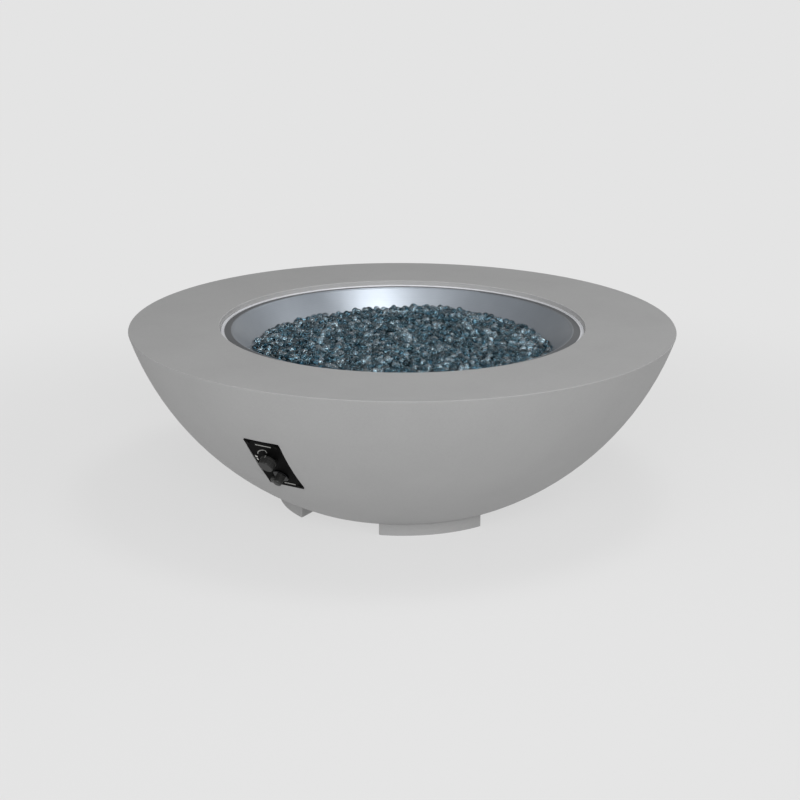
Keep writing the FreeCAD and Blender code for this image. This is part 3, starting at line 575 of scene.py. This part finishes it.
def evenly(points, count):
    """Points spaced evenly along a line, and the line's length."""
    steps = np.linalg.norm(np.diff(points, axis=0), axis=1)
    run = np.concatenate([[0], np.cumsum(steps)])
    wanted = np.linspace(0, run[-1], count)
    return np.stack([np.interp(wanted, run, axis) for axis in points.T], 1), run[-1]


def burner_hose():
    """A corrugated hose: circles along the route, whose radius dips in a cosine wave of one pitch."""
    start = np.array(panel_place(PORT_ACROSS, KNOB_UP, -PORT_DEPTH))
    controls = [start + np.array(step) * MM for step in ROUTE_FROM_PORT]
    controls += [np.array(point) * MM for point in ROUTE_MIDDLE]
    controls += [np.array([x * MM, y * MM, ELBOW_Z]) for x, y in ROUTE_TO_ELBOW]
    route = spline_line("hose_route", np.array(controls))
    length = evenly(route, 2)[1]
    rings = round(length / HOSE_PITCH) * RINGS_PER_PITCH + 1
    centres = evenly(route, rings)[0]
    ahead = np.gradient(centres, axis=0)
    ahead /= np.linalg.norm(ahead, axis=1)[:, None]
    side = np.cross(ahead, [0, 0, 1])
    side /= np.linalg.norm(side, axis=1)[:, None]
    over = np.cross(side, ahead)
    wave = 0.5 - 0.5 * np.cos(2 * math.pi * np.arange(rings) / RINGS_PER_PITCH)
    radius = (HOSE_R - HOSE_GROOVE * wave)[:, None, None]
    angle = (np.arange(HOSE_COLUMNS) * 2 * math.pi / HOSE_COLUMNS)[None, :, None]
    skin = centres[:, None] + radius * (side[:, None] * np.cos(angle) + over[:, None] * np.sin(angle))
    points = np.concatenate([centres[:1], skin.reshape(-1, 3), centres[-1:]])
    quads, triangles = ball_faces(rings, HOSE_COLUMNS)
    faces = quads.tolist() + triangles.tolist()
    steel = metal("hose_stainless", paint(188, 188, 186), paint(158, 158, 156), 0.3, 0.004)
    piece = add_piece("burner_hose_corrugated", points, faces, steel, "root")
    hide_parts("burner_hose")


# Panel

def panel_place(x, y, out):
    """A point on the panel: across and up from its middle, and out from its back. In metres."""
    return KNOB_BASE + PANEL_ACROSS * x + PANEL_UP * (y - KNOB_UP) + PANEL_OUT * out


def printed_arc(name, centre, radius, width, start, end, material):
    """A printed arc that tapers to its ends: a strip round its centre, INK thick."""
    steps = 28
    share = np.linspace(0, 1, steps)
    angle = np.radians(start + (end - start) * share)
    half = width / 2 * np.sqrt(np.clip(1 - (2 * share - 1) ** 6, 0.02, 1))
    points = []
    for side, lift in ((-1, 0), (1, 0), (1, INK), (-1, INK)):
        r = radius + side * half
        x, y = centre[0] + r * np.cos(angle), centre[1] + r * np.sin(angle)
        points.append(panel_grid(x, y, np.full(steps, PLATE + lift)))
    return strip_piece(name, points, material)


def panel_grid(x, y, out):
    """Many points on the panel at once."""
    origin = np.array(panel_place(0, 0, 0))
    axes = np.array([PANEL_ACROSS, PANEL_UP, PANEL_OUT])
    return origin + np.stack([x, y, out], -1) @ axes


def strip_piece(name, edges, material):
    """A closed bar from its four long edges."""
    steps = len(edges[0])
    points = np.concatenate(edges)
    step = np.arange(steps - 1)
    faces = []
    for side in range(4):
        a = side * steps + step
        b = ((side + 1) % 4) * steps + step
        faces += np.stack([a, b, b + 1, a + 1], -1).tolist()
    ends = np.arange(4) * steps
    faces += [ends[::-1].tolist(), (ends + steps - 1).tolist()]
    return add_piece(name, points, faces, material, "root", smooth=False)


def panel_marks():
    """Plain printed marks: a rule over the knob and one under the igniter, and round the knob a tick for off,
    a curved line up to high, and two short dashes at high."""
    ink = moulded("panel_ink", paint(178, 178, 174), paint(196, 196, 192), 0.55, 0.0006)
    faint = moulded("panel_ink_thin", paint(132, 132, 129), paint(150, 150, 147), 0.55, 0.0006)
    printed_arc("heat_arc", (0, KNOB_UP), *HEAT_ARC, faint)
    for name, left, right, y, width, bold in BARS:
        x = np.array([left, right]) * MM
        low, high = (y - width / 2) * MM, (y + width / 2) * MM
        edges = [panel_grid(x, np.full(2, v), np.full(2, PLATE + lift))
                 for v, lift in ((high, 0), (low, 0), (low, INK), (high, INK))]
        strip_piece(name, edges, ink if bold else faint)


# Studio

def camera():
    """A camera turned CAMERA_HEADING from +Y, looking down by CAMERA_PITCH and rolled by CAMERA_ROLL. It
    stands CAMERA_REACH from the object's axis and CAMERA_RISE above the rim, CAMERA_AZIMUTH round from -Y."""
    turn, pitch = CAMERA_HEADING, CAMERA_PITCH
    right = Vector((math.cos(turn), math.sin(turn), 0))
    ahead = Vector((-math.sin(turn) * math.cos(pitch), math.cos(turn) * math.cos(pitch), -math.sin(pitch)))
    up = right.cross(ahead)
    across = right * math.cos(CAMERA_ROLL) + up * math.sin(CAMERA_ROLL)
    above = up * math.cos(CAMERA_ROLL) - right * math.sin(CAMERA_ROLL)
    data = bpy.data.cameras.new("camera")
    data.lens = CAMERA_LENS
    data.sensor_width = 36.0
    data.clip_end = 100.0
    made = bpy.data.objects.new("camera", data)
    x, y = CAMERA_REACH * math.sin(CAMERA_AZIMUTH), -CAMERA_REACH * math.cos(CAMERA_AZIMUTH)
    turned = Matrix((across, above, -ahead)).transposed().to_4x4()
    made.matrix_world = Matrix.Translation((x, y, RIM_Z + CAMERA_RISE)) @ turned
    bpy.context.scene.collection.objects.link(made)
    bpy.context.scene.camera = made


def soft_box(name, place, aim, width, height, power):
    """A rectangular lamp, aimed at a height on the object's upright axis."""
    data = bpy.data.lights.new(name, "AREA")
    data.shape = "RECTANGLE"
    data.size, data.size_y = width, height
    data.energy = power
    lamp = bpy.data.objects.new(name, data)
    lamp.location = place
    lamp.rotation_euler = (Vector((0, 0, aim)) - Vector(place)).to_track_quat("-Z", "Y").to_euler()
    bpy.context.scene.collection.objects.link(lamp)


def seen_rays(finish):
    """1 for camera, mirror and glass rays, and 0 for the rays that light the object."""
    seen = finish.node("LightPath", output="Is Camera Ray")
    for ray in ("Is Glossy Ray", "Is Transmission Ray"):
        other = finish.node("LightPath", output=ray)
        seen = finish.node("Math", {"operation": "MAXIMUM"}, {0: seen, 1: other})
    return seen


def backdrop():
    """The sky: a pale backdrop where it is seen, and plain light elsewhere. Only mirrored rays find its dark
    door. The world's nodes are made with a Finish that has no material."""
    world = bpy.data.worlds.new("backdrop")
    world.use_nodes = True
    bpy.context.scene.world = world
    tree = world.node_tree
    tree.nodes.clear()
    shell = Finish.__new__(Finish)
    shell.tree = tree
    heading = shell.node("TexCoord", output="Generated")
    near_door = shell.node("VectorMath", {"operation": "DOT_PRODUCT"}, {0: heading, 1: DARK_DOOR}, "Value")
    door = shell.node("MapRange", {"interpolation_type": "SMOOTHSTEP"}, {
        "Value": near_door, "From Min": DOOR_EDGE, "From Max": DOOR_CORE,
        "To Min": 0.0, "To Max": DOOR_SHADE})
    mirrored = shell.node("LightPath", output="Is Glossy Ray") * door
    strength = seen_rays(shell) * (grey(BACKDROP) - SKY) - mirrored + SKY
    sky = shell.node("Background", {}, {"Color": (1, 1, 1, 1), "Strength": strength})
    end = tree.nodes.new("ShaderNodeOutputWorld")
    tree.links.new(sky.socket, end.inputs["Surface"])


def floor():
    """A pale floor that keeps the shadow near the bowl, and matches the backdrop further out."""
    finish = Finish("studio_floor")
    finish.set(Base_Color=paint(FLOOR, FLOOR, FLOOR), Roughness=0.9, Specular_IOR_Level=0.0)
    point = finish.place()
    away = finish.node("VectorMath", {"operation": "LENGTH"}, {0: point}, "Value")
    near = LIT_SHARE - finish.node("LightPath", output="Is Camera Ray") * (LIT_SHARE - SHADE_SHARE)
    far = finish.node("MapRange", {"interpolation_type": "SMOOTHSTEP"}, {
        "Value": away, "From Min": FLOOR_NEAR, "From Max": FLOOR_FAR, "To Min": near, "To Max": 1.0})
    glow = finish.node("Emission", {}, {"Color": (1, 1, 1, 1), "Strength": grey(BACKDROP)})
    mixed = finish.node("MixShader", {}, {0: far, 1: Wire(finish, finish.shader.outputs[0]), 2: glow})
    finish.tree.links.new(mixed.socket, finish.end.inputs["Surface"])
    mesh = bpy.data.meshes.new("studio_floor")
    corners = np.array([[-1, -1, 0], [1, -1, 0], [1, 1, 0], [-1, 1, 0]]) * FLOOR_REACH
    mesh.from_pydata(corners.tolist(), [], [[0, 1, 2, 3]])
    mesh.materials.append(finish.material)
    plane = bpy.data.objects.new("studio_floor", mesh)
    bpy.context.scene.collection.objects.link(plane)


def studio():
    """Camera, backdrop, floor and lamps, shown with plain colours."""
    camera()
    backdrop()
    floor()
    for lamp in LAMPS:
        soft_box(*lamp)
    bpy.context.scene.view_settings.view_transform = "Standard"


def finishes():
    """Gives every CAD node its finish."""
    dress(cast_concrete(), "bowl_shell", "bowl_feet")
    dress(pan_finish(), "burner_pan")
    burner = metal("burner_stainless", paint(176, 172, 166), paint(150, 146, 142), 0.34, 0.03)
    dress(burner, "burner_outer_ring", "burner_inner_ring", "burner_spokes", "burner_hub", "burner_standoffs",
          "pilot_bracket")
    bright = metal("bright_chrome", paint(206, 206, 204), paint(182, 182, 182), 0.24, 0.02, 0.00001)
    dress(bright, "valve_stem", "thermocouple", "electrode_rod")
    dark = metal("dark_chrome", paint(32, 32, 34), paint(24, 24, 26), 0.25, 0.01, 0.00001)
    dress(dark, "igniter_bezel_nut")
    plated = metal("zinc_plate", paint(190, 190, 184), paint(160, 160, 154), 0.32, 0.008)
    dress(plated, "burner_lock_nut", "pilot_screws", "safety_magnet", "stud_nut")
    oxide = moulded("black_oxide", paint(6, 6, 6), paint(10, 10, 10), 0.5, 0.001, gloss=0.05)
    dress(oxide, "panel_screws", "valve_screws")
    dress(moulded("stud_cap", paint(34, 34, 34), paint(48, 48, 47), 0.4, 0.001), "earth_stud")
    seal = moulded("fibre_seal", paint(206, 200, 186), paint(184, 176, 160), 0.9, 0.0012, 0.0002)
    dress(seal, "pan_gasket")
    brass = metal("machined_brass", paint(196, 166, 98), paint(170, 138, 74), 0.26, 0.012)
    dress(brass, "air_mixer", "gas_orifice", "orifice_elbow", "flare_nuts", "outlet_union", "inlet_elbow",
          "valve_plug", "thermocouple_nut", "igniter_terminals")
    alloy = metal("cast_alloy", paint(168, 168, 166), paint(132, 132, 132), 0.5, 0.006, 0.00012)
    dress(alloy, "valve_body", "valve_bonnet")
    enamel = moulded("panel_enamel", paint(5, 5, 5), paint(10, 10, 10), 0.6, 0.0009, gloss=0.03)
    dress(enamel, "control_panel")
    knob = moulded("knob_nylon", paint(24, 24, 24), paint(32, 32, 31), 0.45, 0.0008, gloss=0.35)
    dress(knob, "control_knob")
    dress(moulded("pointer_paint", paint(116, 116, 114), paint(102, 102, 100), 0.5, 0.0008), "knob_pointer")
    dress(moulded("igniter_nylon", paint(26, 26, 26), paint(36, 36, 36), 0.5, 0.001), "igniter_housing")
    button = moulded("button_nylon", paint(28, 28, 28), paint(40, 40, 39), 0.4, 0.0008, gloss=0.4)
    dress(button, "igniter_button")
    wrap = metal("cell_wrap", paint(214, 190, 128), paint(188, 160, 96), 0.3, 0.01, 0.00001)
    dress(wrap, "igniter_battery")
    ceramic = moulded("white_ceramic", paint(232, 228, 218), paint(214, 208, 196), 0.25, 0.001)
    dress(ceramic, "electrode_insulator")
    dress(moulded("red_silicone", paint(150, 34, 28), paint(172, 48, 40), 0.5, 0.001), "ignition_lead")
    copper = metal("drawn_copper", paint(196, 128, 96), paint(160, 96, 70), 0.3, 0.01)
    dress(copper, "thermocouple_lead")


finishes()
fire_glass()
burner_hose()
panel_marks()
studio()
